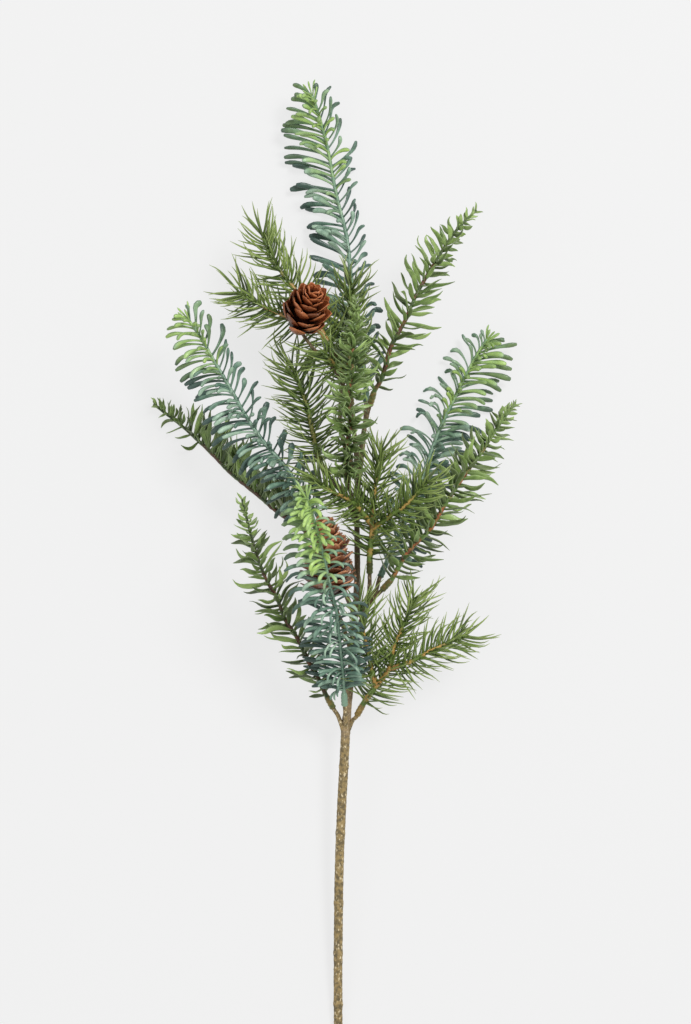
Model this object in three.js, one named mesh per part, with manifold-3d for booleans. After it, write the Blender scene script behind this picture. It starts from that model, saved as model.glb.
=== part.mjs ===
// A mixed evergreen branch with two cones, lying on a table: a bark-covered wire stem whose side
// wires carry moulded fir, spruce and pine sprays on socket collars.
// Millimetres. +Y runs along the stem to the top of the branch, +Z up from the table.
import * as THREE from 'three';
import { mergeVertices } from 'three/addons/utils/BufferGeometryUtils.js';
import Module from 'manifold-3d';

const wasm = await Module();
wasm.setup();

// Driving dimensions
const GAP = 0.35; // between a piece and its neighbour
const STEM_RADIUS = 2.6; // the bare stem at its cut end
const FORK_RADIUS = 2.8; // the stem where its wires start to spread
const THINNED_RADIUS = 2.2; // the stem just above there
const TOP_RADIUS = 1.5;
const WIRE_RADIUS = 1.3; // a side wire with its bark
const RUN_IN = 1.5; // the straight stretch of a wire in front of its collar
const SEAT = 5; // how far a wire reaches into a collar
const COLLAR_LENGTH = 8;
const COLLAR_RADIUS = 2.6;
const COLLAR_LIP = 1.2; // length of the rounded edge at the collar's mouth
const TWIG_START = 10; // where a twig has its own thickness behind the collar
const TWIG_STEP = 15;
const LOWEST_NEEDLE = 0.2; // centre line of a needle that lies on the table
const NEEDLE_SINK = 0.4; // how far needles of one spray may sink into each other
const SMOOTHING = 0.05; // slivers thinner than this are taken off the joined bodies
const GOLDEN_ANGLE = 137.5;
const STEM_SIDES = 8;
const WIRE_SIDES = 6;
const TWIG_SIDES = 4;

const vector = ([x, y, z]) => new THREE.Vector3(x, y, z);
const radians = THREE.MathUtils.degToRad;
const mix = THREE.MathUtils.lerp;
const UP = new THREE.Vector3(0, 0, 1);

// Seeded random numbers from 0 to 1
function dice(seed) {
  return () => {
    seed = (seed + 0x6d2b79f5) | 0;
    let t = Math.imul(seed ^ (seed >>> 15), 1 | seed);
    t = (t + Math.imul(t ^ (t >>> 7), 61 | t)) ^ t;
    return ((t ^ (t >>> 14)) >>> 0) / 4294967296;
  };
}

// A closed body along a line of points: one ring of a cylinder at each point, as wide as its half
// width across and its half thickness along up. It closes to a point where the last width is 0.
function limb(points, { sides, wide, thick = wide, up = UP, bulge = 0, flatDown = false }) {
  const rows = points.length - 1;
  const start = flatDown ? Math.PI / sides : 0;
  const tipRadius = wide[rows] > 0 ? 1 : 0;
  const geometry = new THREE.CylinderGeometry(tipRadius, 1, rows, sides, rows, false, start);
  geometry.deleteAttribute('normal');
  geometry.deleteAttribute('uv');
  const frames = points.map((point, i) => {
    const ahead = points[Math.min(i + 1, rows)].clone().sub(points[Math.max(i - 1, 0)]).normalize();
    const across = ahead.clone().cross(up).normalize();
    return { point, ahead, across, face: across.clone().cross(ahead) };
  });
  const position = geometry.getAttribute('position');
  for (let i = 0; i < position.count; i++) {
    const row = Math.round(position.getY(i) + rows / 2);
    const ringRadius = mix(1, tipRadius, row / rows);
    const x = ringRadius > 0 ? position.getX(i) / ringRadius : 0;
    const z = ringRadius > 0 ? position.getZ(i) / ringRadius : 0;
    const { point, ahead, across, face } = frames[row];
    const placed = point.clone().addScaledVector(across, x * wide[row]).addScaledVector(face, z * thick[row]);
    const isEndCentre = row === rows && Math.hypot(x, z) < 0.5;
    if (isEndCentre) placed.addScaledVector(ahead, bulge);
    position.setXYZ(i, placed.x, placed.y, Math.max(placed.z, 0));
  }
  return solidFrom(geometry);
}

function solidFrom(geometry) {
  const merged = mergeVertices(geometry, 1e-4);
  const mesh = new wasm.Mesh({
    numProp: 3,
    vertProperties: new Float32Array(merged.getAttribute('position').array),
    triVerts: new Uint32Array(merged.index.array),
  });
  return new wasm.Manifold(mesh);
}

// The largest body of a solid, without slivers, scraps that touch nothing and sealed pockets
function cleaned(solid) {
  const bodies = solid.asOriginal().simplify(SMOOTHING).decompose();
  return bodies.reduce((largest, body) => (body.volume() > largest.volume() ? body : largest));
}

function geometryFrom(solid) {
  const mesh = cleaned(solid).getMesh();
  const geometry = new THREE.BufferGeometry();
  geometry.setAttribute('position', new THREE.BufferAttribute(new Float32Array(mesh.vertProperties), 3));
  geometry.setIndex(new THREE.BufferAttribute(new Uint32Array(mesh.triVerts), 1));
  geometry.computeVertexNormals();
  return geometry;
}

function joined(pieces) {
  return pieces.reduce((body, piece) => body.add(piece));
}

// Where each piece lies, as short round bars, so that a needle can be bent clear of other pieces
const bars = [];

function addBars(points, radii, owner, isNeedle = false) {
  for (let i = 1; i < points.length; i++) {
    const line = new THREE.Line3(points[i - 1].clone(), points[i].clone());
    const centre = line.getCenter(new THREE.Vector3());
    const radius = Math.max(radii[i - 1], radii[i]);
    const reach = line.distance() / 2 + radius;
    bars.push({ line, centre, radius, reach, owner, isNeedle });
  }
}

// Needles of one spray only have to miss each other beyond their roots.
function isClear(points, radii, owner) {
  const first = new THREE.Vector3();
  const second = new THREE.Vector3();
  for (let i = 1; i < points.length; i++) {
    const line = new THREE.Line3(points[i - 1], points[i]);
    const centre = line.getCenter(new THREE.Vector3());
    const radius = Math.max(radii[i - 1], radii[i]);
    const reach = line.distance() / 2 + radius;
    const beyondRoot = new THREE.Line3(line.at(i === 1 ? 0.5 : 0, new THREE.Vector3()), points[i]);
    for (const bar of bars) {
      const isOwn = bar.owner === owner;
      if (isOwn && !bar.isNeedle) continue;
      const apart = bar.radius + radius + (isOwn ? -NEEDLE_SINK : GAP);
      if (centre.distanceTo(bar.centre) > reach + bar.reach + GAP) continue;
      const tested = isOwn ? beyondRoot : line;
      if (tested.distanceSqToLine3(bar.line, first, second) < apart * apart) return false;
    }
  }
  return true;
}

// What each kind of spray is made of. Half widths and half thicknesses run from root to end.
const KINDS = {
  fir: {
    colour: '#5f8a77',
    twig: [1.6, 0.9],
    blade: { sides: 3, wide: [0.6, 1.1, 2], thick: [0.45, 0.5, 0.5], bulge: 1.3 },
  },
  spruce: {
    colour: '#4f7a36',
    twig: [1.4, 0.8],
    blade: { sides: 3, wide: [0.5, 2, 0], thick: [0.45, 0.6, 0] },
  },
  pine: {
    colour: '#5c8339',
    twig: [1.3, 0.8],
    blade: { sides: 3, wide: [0.5, 0.7, 0], thick: [0.5, 0.7, 0] },
  },
};

// Fir sprays: comb rows on both sides, and short needles on the face. Lean is the angle from the
// twig at a needle's root and at its end, and reach its length.
const FIR_PITCH = 10;
const FIR_SIDE_TURNS = [76, 100];
const FIR_FACE = { turn: 22, lean: [28, 62], reach: 0.45, every: 2 };

// Spruce sprays: broad pointed needles, set at turns from the face that repeat along the twig
const SPRUCE_PITCH = 3.9;
const BOTH_SIDES = [-88, 74, -50, 104, -112, 40, -70, 92, -20];

// Pine sprays: thin needles all round
const PINE_PITCH = 3.3;
const FORK_BARE = 3; // a side branch starts bare

// The sprays, from the collar's mouth to the tip. The first two points are the ends of the collar.
const SPRAYS = {
  fir_spray_front: {
    kind: 'fir',
    seed: 4,
    face: [0, -0.3, 1],
    left: { lean: [60, 104], reach: 22 },
    right: { lean: [60, 108], reach: 19 },
    lines: [
      [
        [4, 224, 34], [3.5, 233.5, 40], [2.5, 249.5, 51], [0.5, 269, 67], [-1, 283, 79],
        [-4.5, 297, 89], [-8, 313.5, 99], [-12, 330, 110], [-16, 343.5, 119], [-18, 350, 122],
      ],
    ],
  },
  fir_spray_top: {
    kind: 'fir',
    seed: 1,
    face: [0.15, 0, 1],
    left: { lean: [56, 94], reach: 28 },
    right: { lean: [38, 66], reach: 22 },
    lines: [
      [
        [17, 407.5, 29], [17, 416, 26.5], [14, 439, 19], [9, 470, 11], [5.5, 508, 6], [-2, 535, 5.5],
        [-8, 566, 9], [-11.5, 577, 12], [-15, 587, 16], [-18.5, 594.5, 20],
      ],
    ],
  },
  fir_spray_left: {
    kind: 'fir',
    seed: 2,
    face: [0, 0, 1],
    left: { lean: [50, 98], reach: 25 },
    right: { lean: [34, 62], reach: 22 },
    lines: [
      [
        [-7, 333.5, 45], [-12.5, 339.5, 46.5], [-23, 354, 49], [-30.5, 366.5, 50.5], [-45.5, 384, 52],
        [-55, 398, 53], [-64, 414, 54], [-74, 431, 54], [-83, 446.5, 54.5], [-90.5, 457.5, 56],
      ],
    ],
  },
  fir_spray_right: {
    kind: 'fir',
    seed: 3,
    face: [0, 0, 1],
    left: { lean: [46, 84], reach: 25 },
    right: { lean: [50, 94], reach: 24 },
    lines: [
      [
        [25.5, 301.5, 32], [29.5, 310.5, 28], [36.5, 325, 21.5], [45, 345, 13.5], [53, 366.5, 7.5],
        [62, 391, 4.5], [71.5, 411, 4.5], [79.5, 427, 7], [85.5, 438, 9.5], [91, 446.5, 13],
      ],
    ],
  },
  spruce_spray_centre: {
    kind: 'spruce',
    seed: 15,
    face: [0, -0.2, 1],
    turns: [-80, 60, -30, 95, -100, 25, -55, 80, -5],
    lean: [62, 48],
    reach: 15,
    lines: [
      [
        [5.5, 358.5, 59], [5, 366.5, 65], [5.5, 380.5, 69], [7, 391, 70.5], [6.5, 404, 71],
        [8, 419, 71], [9, 439.5, 70], [10, 456, 68], [10.5, 469, 66],
      ],
    ],
  },
  spruce_spray_upper_right: {
    kind: 'spruce',
    seed: 11,
    face: [0, 0, 1],
    turns: BOTH_SIDES,
    lean: [76, 56],
    reach: 19,
    lines: [
      [
        [19, 404.5, 51], [21.5, 412.5, 53], [26, 420.5, 54], [31.5, 439, 56], [40, 455, 56],
        [48, 473, 55], [58, 490, 53], [70, 508.5, 51], [77, 516, 50], [83, 522, 49],
      ],
    ],
  },
  spruce_spray_right: {
    kind: 'spruce',
    seed: 12,
    face: [0, 0, 1],
    turns: BOTH_SIDES,
    lean: [68, 60],
    reach: 18,
    lines: [
      [
        [26.5, 294, 46], [32, 300, 49], [39, 312.5, 52], [46.5, 322, 53], [54.5, 329.5, 54],
        [64, 345, 54], [76, 363, 53], [86.5, 377, 51], [96, 392, 49], [101.5, 399.5, 48], [106.5, 406, 47],
      ],
    ],
  },
  spruce_spray_left: {
    kind: 'spruce',
    seed: 13,
    face: [0, 0, 1],
    turns: [86, 58, 98, 34, 74, 92, 12],
    lean: [60, 38],
    reach: 15,
    lines: [
      [
        [-13.5, 324, 22], [-21, 330, 19], [-29.5, 336, 13], [-38, 341.5, 8], [-48.5, 350.5, 4],
        [-58.5, 358.5, 1.4], [-67.5, 366, 0.6], [-77.5, 376.5, 0.6], [-87, 385.5, 0.6], [-96.5, 394, 2],
        [-107.5, 402.5, 5], [-113, 407, 7],
      ],
    ],
  },
  spruce_spray_lower_left: {
    kind: 'spruce',
    seed: 14,
    face: [0, 0, 1],
    turns: BOTH_SIDES,
    lean: [64, 48],
    reach: 17,
    lines: [
      [
        [-3, 222, 29], [-7.5, 230.5, 33], [-12, 240.5, 37], [-18.5, 252, 41], [-24.5, 265, 44],
        [-31.5, 275.5, 45.5], [-36.5, 288.5, 46.5], [-43.5, 301, 47], [-48.5, 314, 47],
        [-52.5, 327.5, 47], [-55.5, 339.5, 48], [-57.5, 348.5, 49],
      ],
    ],
  },
  pine_spray_centre: {
    kind: 'pine',
    seed: 23,
    face: [0, 0, 1],
    lean: [56, 46],
    reach: 23,
    lines: [
      [[19, 304, 48], [19, 314, 51], [20.5, 330, 54], [21.5, 348, 57], [23.5, 364, 59], [26, 378, 60]],
      [[20, 333, 54.5], [12.5, 343, 60], [5, 349, 65], [-3, 352.5, 68], [-10, 357.5, 70], [-15.5, 361.5, 71]],
      [[20.5, 330.5, 54], [32, 339, 61], [40, 344.5, 65], [47, 352, 67], [54.5, 360.5, 68], [59.5, 366, 68]],
    ],
  },
  pine_spray_lower_right: {
    kind: 'pine',
    seed: 24,
    face: [0, 0, 1],
    lean: [54, 46],
    reach: 24,
    lines: [
      [
        [11.5, 217.5, 27.5], [15.5, 225, 31], [23.5, 236.5, 36], [29.5, 243.5, 38.5], [32, 251, 40],
        [33.5, 258.5, 42], [36.5, 266, 44], [39.5, 273.5, 45], [43, 281.5, 46], [46, 289, 46],
      ],
      [
        [30.5, 246, 39.2], [38, 248.5, 41], [45.5, 251.5, 43], [53.5, 256, 44], [61.5, 260, 44],
        [70, 263.5, 43], [77.5, 266.5, 42],
      ],
      [
        [23, 235.5, 35.7], [20, 246.5, 40], [17.5, 258, 44], [15.5, 267.5, 46], [14, 277, 47],
        [12.5, 286.5, 48],
      ],
    ],
  },
  pine_spray_left: {
    kind: 'pine',
    seed: 22,
    face: [0, 0, 1],
    lean: [54, 46],
    reach: 24,
    lines: [
      [[-5.5, 362.5, 41], [-10.5, 369.5, 43], [-15.5, 390, 45], [-19, 406, 46], [-24, 419, 46], [-28, 430, 46.5]],
    ],
  },
  pine_spray_upper_left: {
    kind: 'pine',
    seed: 21,
    face: [0, 0, 1],
    lean: [54, 44],
    reach: 24,
    lines: [
      [
        [2.5, 423, 50], [0, 431.5, 51], [-9.5, 448.5, 51], [-18, 463, 50], [-26.5, 475.5, 49],
        [-33, 483.5, 48.5], [-41, 496, 48], [-45.5, 508, 48],
      ],
      [
        [-9.5, 448.5, 51], [-21.5, 453.5, 50], [-33, 459, 49], [-46.5, 465, 48], [-54, 469.5, 47],
        [-60, 473, 46],
      ],
    ],
  },
  pine_spray_upper_centre: {
    kind: 'pine',
    seed: 25,
    face: [0, 0, 1],
    lean: [50, 40],
    reach: 22,
    lines: [[[8, 405, 47], [7, 413, 48], [6.5, 438, 47], [7, 462, 46], [8.5, 478, 47]]],
  },
};

// Cones, from the base to the tip. Radii, leans and scale lengths run from base to tip.
const CONES = {
  round_cone: {
    colour: '#7a4226',
    seed: 31,
    ends: [[-23, 453, 60], [-15, 469, 81]],
    core: [5, 6.5, 3],
    scales: 22,
    scaleLength: [17, 17.5, 9],
    scaleWidth: 6.5,
    leanFrom: [88, 30],
    leanTo: [56, 8],
    scaleShape: [1, 0.6],
    thickness: 0.8,
    firstScale: 0.08,
  },
  long_cone: {
    colour: '#9a5f3a',
    seed: 32,
    ends: [[-3, 288, 56], [-9.5, 343, 62]],
    core: [6, 8, 2.5],
    scales: 40,
    scaleLength: [15.5, 18, 7.5],
    scaleWidth: 6,
    leanFrom: [84, 48],
    leanTo: [56, 22],
    scaleShape: [1, 0.55],
    thickness: 0.7,
    firstScale: 0.02,
  },
};

// The stem and its wires. Each wire ends in the mouth of the piece that it carries.
const STEM_LINE = [
  [0, -8, 2.38], [0, 16.5, 2.38], [0, 73, 10], [1, 134.5, 16.5], [3.5, 186, 21.5], [5, 213, 24],
  [7, 232.5, 26], [9, 263, 29], [11.5, 299.5, 32], [11.5, 336, 34], [12.5, 361.5, 36],
];
const STEM_THINS_AT = 5; // the point of the stem line where its wires spread
const WIRES = {
  spruce_spray_lower_left: [[4, 208, 23.5], [-0.5, 218, 27]],
  fir_spray_front: [[5, 210, 24], [4.5, 219, 31]],
  pine_spray_lower_right: [[5.5, 208, 23.5], [9, 214.5, 26]],
  pine_spray_centre: [[8.5, 257, 28.5], [13, 272.5, 34], [17.5, 285.5, 39], [19, 297, 45]],
  fir_spray_right: [[17.5, 285.5, 39], [23, 293.5, 35]],
  spruce_spray_right: [[17.5, 285.5, 39], [22.5, 290, 43.5]],
  spruce_spray_left: [[10, 281.5, 30.5], [-2, 305.5, 26]],
  fir_spray_left: [[11.5, 302.5, 32], [2.5, 319, 40]],
  pine_spray_left: [[11.5, 336, 34], [2.5, 353, 38]],
  spruce_spray_centre: [[11.5, 342, 34], [8, 351.5, 48]],
  spruce_spray_upper_right: [[12.5, 361, 36], [13.5, 377.5, 42], [15.5, 390, 47]],
  fir_spray_top: [[12.5, 361, 36], [15.5, 384.5, 33]],
  pine_spray_upper_centre: [[12.5, 361, 36], [10, 384, 43]],
  pine_spray_upper_left: [[12.5, 361, 36], [1.5, 391, 43.5]],
  round_cone: [[12.5, 361, 36], [9.5, 390, 48], [0, 422.5, 58], [-16, 440, 57]],
  long_cone: [[8.5, 257, 28.5], [3, 272, 42]],
};

// The straight line of a collar or a cone's base: its mouth, and the way into it
function socketOf(name) {
  const ends = SPRAYS[name] ? SPRAYS[name].lines[0] : CONES[name].ends;
  const mouth = vector(ends[0]);
  return { mouth, inward: vector(ends[1]).sub(mouth).normalize() };
}

function socketPoint(socket, depth) {
  return socket.mouth.clone().addScaledVector(socket.inward, depth);
}

// A wire's last stretch is straight, along the socket that it sits in.
function wireLine(name) {
  const socket = socketOf(name);
  return [...WIRES[name].map(vector), socketPoint(socket, -RUN_IN), socketPoint(socket, SEAT)];
}

function socketHole(name) {
  const socket = socketOf(name);
  const radius = WIRE_RADIUS + GAP;
  const line = [socketPoint(socket, -2 * RUN_IN), socketPoint(socket, SEAT + GAP)];
  return limb(line, { sides: WIRE_SIDES, wide: [radius, radius], flatDown: true });
}

function stemSolid() {
  const line = STEM_LINE.map(vector);
  const last = line.length - 1;
  const radii = line.map((_, i) =>
    i <= STEM_THINS_AT
      ? mix(STEM_RADIUS, FORK_RADIUS, i / STEM_THINS_AT)
      : mix(THINNED_RADIUS, TOP_RADIUS, (i - STEM_THINS_AT) / (last - STEM_THINS_AT)),
  );
  const pieces = [limb(line, { sides: STEM_SIDES, wide: radii, flatDown: true })];
  addBars(line, radii, 'main_stem');
  for (const name of Object.keys(WIRES)) {
    const wire = wireLine(name);
    const wide = wire.map(() => WIRE_RADIUS);
    pieces.push(limb(wire, { sides: WIRE_SIDES, wide, flatDown: true }));
    addBars(wire, wide, 'main_stem');
  }
  return joined(pieces);
}

// Places along a spray's line, by distance from its start
function lineOf(points) {
  const curve = new THREE.CatmullRomCurve3(points.map(vector), false, 'centripetal');
  curve.arcLengthDivisions = 400;
  const length = curve.getLength();
  const at = (distance, face) => {
    const share = THREE.MathUtils.clamp(distance / length, 0, 1);
    const axis = curve.getTangentAt(share);
    const side = axis.clone().cross(face).normalize();
    return { point: curve.getPointAt(share), axis, side, face: side.clone().cross(axis), share };
  };
  return { length, at };
}

// The slim twig of a branch. The first branch of a spray starts with its collar.
function twigOf(branch, kind, face, hasCollar) {
  const [thick, thin] = KINDS[kind].twig;
  const points = [];
  const radii = [];
  if (hasCollar) {
    const socket = { mouth: branch.at(0, face).point, inward: branch.inward };
    const depths = [0, COLLAR_LIP, COLLAR_LENGTH - COLLAR_LIP];
    points.push(...depths.map((depth) => socketPoint(socket, depth)));
    radii.push(0.9 * COLLAR_RADIUS, COLLAR_RADIUS, 0.92 * COLLAR_RADIUS);
  }
  const start = hasCollar ? TWIG_START : 0;
  const steps = Math.ceil((branch.length - start) / TWIG_STEP);
  for (let i = 0; i <= steps; i++) {
    points.push(branch.at(mix(start, branch.length, i / steps), face).point);
    radii.push(mix(thick, thin, i / steps));
  }
  return { points, radii };
}

// A needle's centre line: it leaves the twig at the first lean and ends at the second.
function needleLine(needle, rows) {
  const points = [needle.root.clone()];
  for (let i = 0; i < rows; i++) {
    const lean = radians(mix(needle.lean[0], needle.lean[1], (i + 0.5) / rows));
    const next = points[i].clone();
    next.addScaledVector(needle.axis, (Math.cos(lean) * needle.length) / rows);
    next.addScaledVector(needle.outward, (Math.sin(lean) * needle.length) / rows);
    next.z = Math.max(next.z, LOWEST_NEEDLE);
    points.push(next);
  }
  return points;
}

const TURNS_TRIED = [0, 10, -10, 20, -20, 32, -32, 46, -46];
const LENGTHS_TRIED = [1, 0.82, 0.66];

// Turns the needle round its twig, and shortens it, until it misses every other piece
function settle(needle, kind, owner) {
  const { wide } = KINDS[kind].blade;
  const rows = wide.length - 1;
  for (const share of LENGTHS_TRIED) {
    for (const turn of TURNS_TRIED) {
      const outward = needle.outward.clone().applyAxisAngle(needle.axis, radians(turn));
      const points = needleLine({ ...needle, outward, length: needle.length * share }, rows);
      if (isClear(points, wide, owner)) {
        addBars(points, wide, owner, true);
        return points;
      }
    }
  }
  return null;
}

function needleAt(branch, face, distance, turn, lean, length) {
  const place = branch.at(distance, face);
  const outward = place.face.clone().multiplyScalar(Math.cos(radians(turn)));
  outward.addScaledVector(place.side, Math.sin(radians(turn)));
  const up = place.face.clone().addScaledVector(place.axis, -0.6);
  return { root: place.point, axis: place.axis, outward, up, lean, length };
}

// Shorter needles at both ends of a branch
function swell(share, base, tip) {
  const rise = THREE.MathUtils.smoothstep(share, 0, 0.25);
  const fall = THREE.MathUtils.smoothstep(share, 0.7, 1);
  return mix(base, 1, rise) * mix(1, tip, fall);
}

function firNeedles(spray, branch, face, random) {
  const needles = [];
  const start = TWIG_START + 2;
  const stations = Math.round((branch.length - start) / FIR_PITCH);
  for (let i = 0; i <= stations; i++) {
    const distance = mix(start, branch.length - 1, i / stations);
    const size = swell(distance / branch.length, 0.7, 0.42) * mix(0.92, 1.06, random());
    for (const [sign, side] of [[-1, spray.left], [1, spray.right]]) {
      const turn = sign * (FIR_SIDE_TURNS[(i + (sign > 0 ? 1 : 0)) % 2] + mix(-6, 6, random()));
      const tipward = mix(0, -18, THREE.MathUtils.smoothstep(i / stations, 0.75, 1));
      const lean = side.lean.map((angle) => angle + tipward + mix(-5, 5, random()));
      const offset = sign > 0 ? FIR_PITCH * 0.45 : 0;
      const place = Math.min(distance + offset, branch.length - 0.5);
      needles.push(needleAt(branch, face, place, turn, lean, side.reach * size));
    }
    if (i % FIR_FACE.every === 0) {
      const turn = FIR_FACE.turn * (i % (2 * FIR_FACE.every) ? 1 : -1);
      const length = spray.left.reach * FIR_FACE.reach * size;
      needles.push(needleAt(branch, face, distance, turn, FIR_FACE.lean, length));
    }
  }
  return needles;
}

function spruceNeedles(spray, branch, face, random) {
  const needles = [];
  const start = TWIG_START + 0.5;
  const count = Math.round((branch.length - start) / SPRUCE_PITCH);
  for (let i = 0; i < count; i++) {
    const distance = mix(start, branch.length - 1, i / (count - 1));
    const length = spray.reach * swell(distance / branch.length, 0.85, 0.5) * mix(0.85, 1.12, random());
    const turn = spray.turns[i % spray.turns.length] + mix(-9, 9, random());
    const tipward = mix(0, -22, THREE.MathUtils.smoothstep(i / count, 0.85, 1));
    const lean = spray.lean.map((angle) => angle + tipward + mix(-9, 9, random()));
    const needle = needleAt(branch, face, distance, turn, lean, length);
    needle.up.applyAxisAngle(needle.axis, radians(mix(-25, 25, random())));
    needles.push(needle);
  }
  return needles;
}

function pineNeedles(spray, branch, face, random, start) {
  const needles = [];
  const count = Math.round((branch.length - start) / PINE_PITCH);
  for (let i = 0; i < count; i++) {
    const distance = mix(start, branch.length - 0.5, i / (count - 1));
    const tipward = THREE.MathUtils.smoothstep(i / count, 0.8, 1);
    const length = spray.reach * mix(0.85, 1.1, random()) * mix(0.9, 1, tipward);
    const turn = i * GOLDEN_ANGLE + mix(-12, 12, random());
    const lean = spray.lean.map((angle) => angle * mix(1, 0.42, tipward) + mix(-6, 6, random()));
    needles.push(needleAt(branch, face, distance, turn, lean, length));
  }
  return needles;
}

function branchesOf(spray) {
  return spray.lines.map((points) => {
    const branch = lineOf(points);
    branch.inward = vector(points[1]).sub(vector(points[0])).normalize();
    return branch;
  });
}

function spraySolid(name, spray, limbs) {
  const random = dice(spray.seed);
  const face = vector(spray.face).normalize();
  const blade = KINDS[spray.kind].blade;
  const pieces = limbs.map(({ points, radii }) => limb(points, { sides: TWIG_SIDES, wide: radii, flatDown: true }));
  branchesOf(spray).forEach((branch, i) => {
    const start = i === 0 ? TWIG_START + 1 : FORK_BARE;
    const needles =
      spray.kind === 'fir'
        ? firNeedles(spray, branch, face, random)
        : spray.kind === 'spruce'
          ? spruceNeedles(spray, branch, face, random)
          : pineNeedles(spray, branch, face, random, start);
    for (const needle of needles) {
      const points = settle(needle, spray.kind, name);
      if (points) pieces.push(limb(points, { ...blade, up: needle.up }));
    }
  });
  return joined(pieces).subtract(socketHole(name));
}

// A value that runs from the base through the middle to the tip of a cone
function along(share, [base, middle, tip]) {
  return share < 0.5 ? mix(base, middle, share * 2) : mix(middle, tip, share * 2 - 1);
}

function coneSolid(name, cone) {
  const random = dice(cone.seed);
  const [base, tip] = cone.ends.map(vector);
  const axis = tip.clone().sub(base).normalize();
  const length = base.distanceTo(tip);
  const side = axis.clone().cross(UP).normalize();
  const shares = [0, 0.35, 0.75, 1];
  const coreLine = shares.map((share) => base.clone().lerp(tip, share));
  const coreRadii = [cone.core[0], cone.core[1], mix(cone.core[1], cone.core[2], 0.6), cone.core[2]];
  const pieces = [limb(coreLine, { sides: WIRE_SIDES, wide: coreRadii, bulge: 2, flatDown: true })];
  for (let i = 0; i < cone.scales; i++) {
    const share = mix(cone.firstScale, 0.95, i / (cone.scales - 1));
    const outward = side.clone().applyAxisAngle(axis, radians(i * GOLDEN_ANGLE));
    const reach = along(share, cone.scaleLength) * mix(0.95, 1.05, random());
    const lean = [mix(cone.leanFrom[0], cone.leanFrom[1], share), mix(cone.leanTo[0], cone.leanTo[1], share)];
    const root = base.clone().addScaledVector(axis, share * length - reach * 0.12);
    const points = needleLine({ root, axis, outward, lean, length: reach }, 2);
    const narrowing = along(share, [0.85, 1, 0.6]);
    const wide = [0.45, ...cone.scaleShape].map((part) => part * cone.scaleWidth * narrowing);
    const thick = wide.map(() => cone.thickness);
    const up = axis.clone().addScaledVector(outward, -0.3);
    pieces.push(limb(points, { sides: 4, wide, thick, up, bulge: 1.2 }));
  }
  return joined(pieces).subtract(socketHole(name));
}

function named(name, solid, colour, roughness) {
  const material = new THREE.MeshStandardMaterial({ color: colour, roughness, metalness: 0 });
  const mesh = new THREE.Mesh(geometryFrom(solid), material);
  mesh.name = name;
  return mesh;
}

const branch = new THREE.Group();
branch.add(named('main_stem', stemSolid(), '#7d6b43', 0.8));

// Twigs and cones are laid first, and the needles then find their way past them.
const twigs = {};
for (const [name, spray] of Object.entries(SPRAYS)) {
  const face = vector(spray.face).normalize();
  twigs[name] = branchesOf(spray).map((line, i) => twigOf(line, spray.kind, face, i === 0));
  for (const { points, radii } of twigs[name]) addBars(points, radii, name);
}
for (const [name, cone] of Object.entries(CONES)) {
  const [base, tip] = cone.ends.map(vector);
  const quarters = [0, 0.25, 0.5, 0.75, 1].map((share) => base.clone().lerp(tip, share));
  const radii = [0, 0.25, 0.5, 0.75, 1].map((share) => along(share, cone.scaleLength) * 0.98);
  addBars(quarters, radii, name);
}

for (const [name, spray] of Object.entries(SPRAYS)) {
  branch.add(named(name, spraySolid(name, spray, twigs[name]), KINDS[spray.kind].colour, 0.55));
}
for (const [name, cone] of Object.entries(CONES)) {
  branch.add(named(name, coneSolid(name, cone), cone.colour, 0.7));
}

// The origin is the middle of the branch's outline, on the table.
const box = new THREE.Box3().setFromObject(branch);
const middle = box.getCenter(new THREE.Vector3());
branch.position.set(-middle.x, -middle.y, -box.min.z);

export default branch;
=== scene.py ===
# A mixed evergreen branch with two cones, lying down: a bark-covered stem whose side wires carry fir,
# spruce and pine sprays. Shapes are worked out in millimetres with the stem's cut end near the origin,
# +Y to the top of the branch and +Z up, and are moved to the model's frame when a mesh is made.
import math
import random

import bpy
import numpy as np
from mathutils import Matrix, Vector


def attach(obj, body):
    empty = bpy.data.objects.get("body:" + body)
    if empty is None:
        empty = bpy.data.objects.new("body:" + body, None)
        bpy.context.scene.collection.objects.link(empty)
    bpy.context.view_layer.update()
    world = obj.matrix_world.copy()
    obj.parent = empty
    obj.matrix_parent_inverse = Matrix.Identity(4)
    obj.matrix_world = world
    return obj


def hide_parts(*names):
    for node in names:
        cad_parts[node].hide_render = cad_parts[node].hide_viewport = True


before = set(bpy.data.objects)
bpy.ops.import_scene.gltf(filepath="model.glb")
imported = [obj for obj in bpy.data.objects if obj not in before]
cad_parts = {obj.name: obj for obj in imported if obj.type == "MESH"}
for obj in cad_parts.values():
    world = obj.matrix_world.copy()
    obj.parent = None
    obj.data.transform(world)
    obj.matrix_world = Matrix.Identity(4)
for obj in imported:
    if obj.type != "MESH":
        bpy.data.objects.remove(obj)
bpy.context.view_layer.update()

MM = 0.001
GOLDEN_ANGLE = math.radians(137.5)
UP = np.array([0.0, 0.0, 1.0])

# The stem's line and its radii by height, and the rings round its bare part
STEM_LINE = [
    (0, -8, 2.38), (0, 16.5, 2.38), (0, 73, 10), (1, 134.5, 16.5), (3.5, 186, 21.5), (5, 213, 24),
    (7, 232.5, 26), (9, 263, 29), (11.5, 299.5, 32), (11.5, 336, 34), (12.5, 361.5, 36),
]
STEM_HEIGHTS = (-8, 213, 222, 361.5)
STEM_RADII = (2.6, 2.8, 2.2, 1.5)
STEM_JOINTS = [39, 71, 102, 145, 186]
JOINT_RISE = 0.32
JOINT_SPREAD = 1.5

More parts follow.
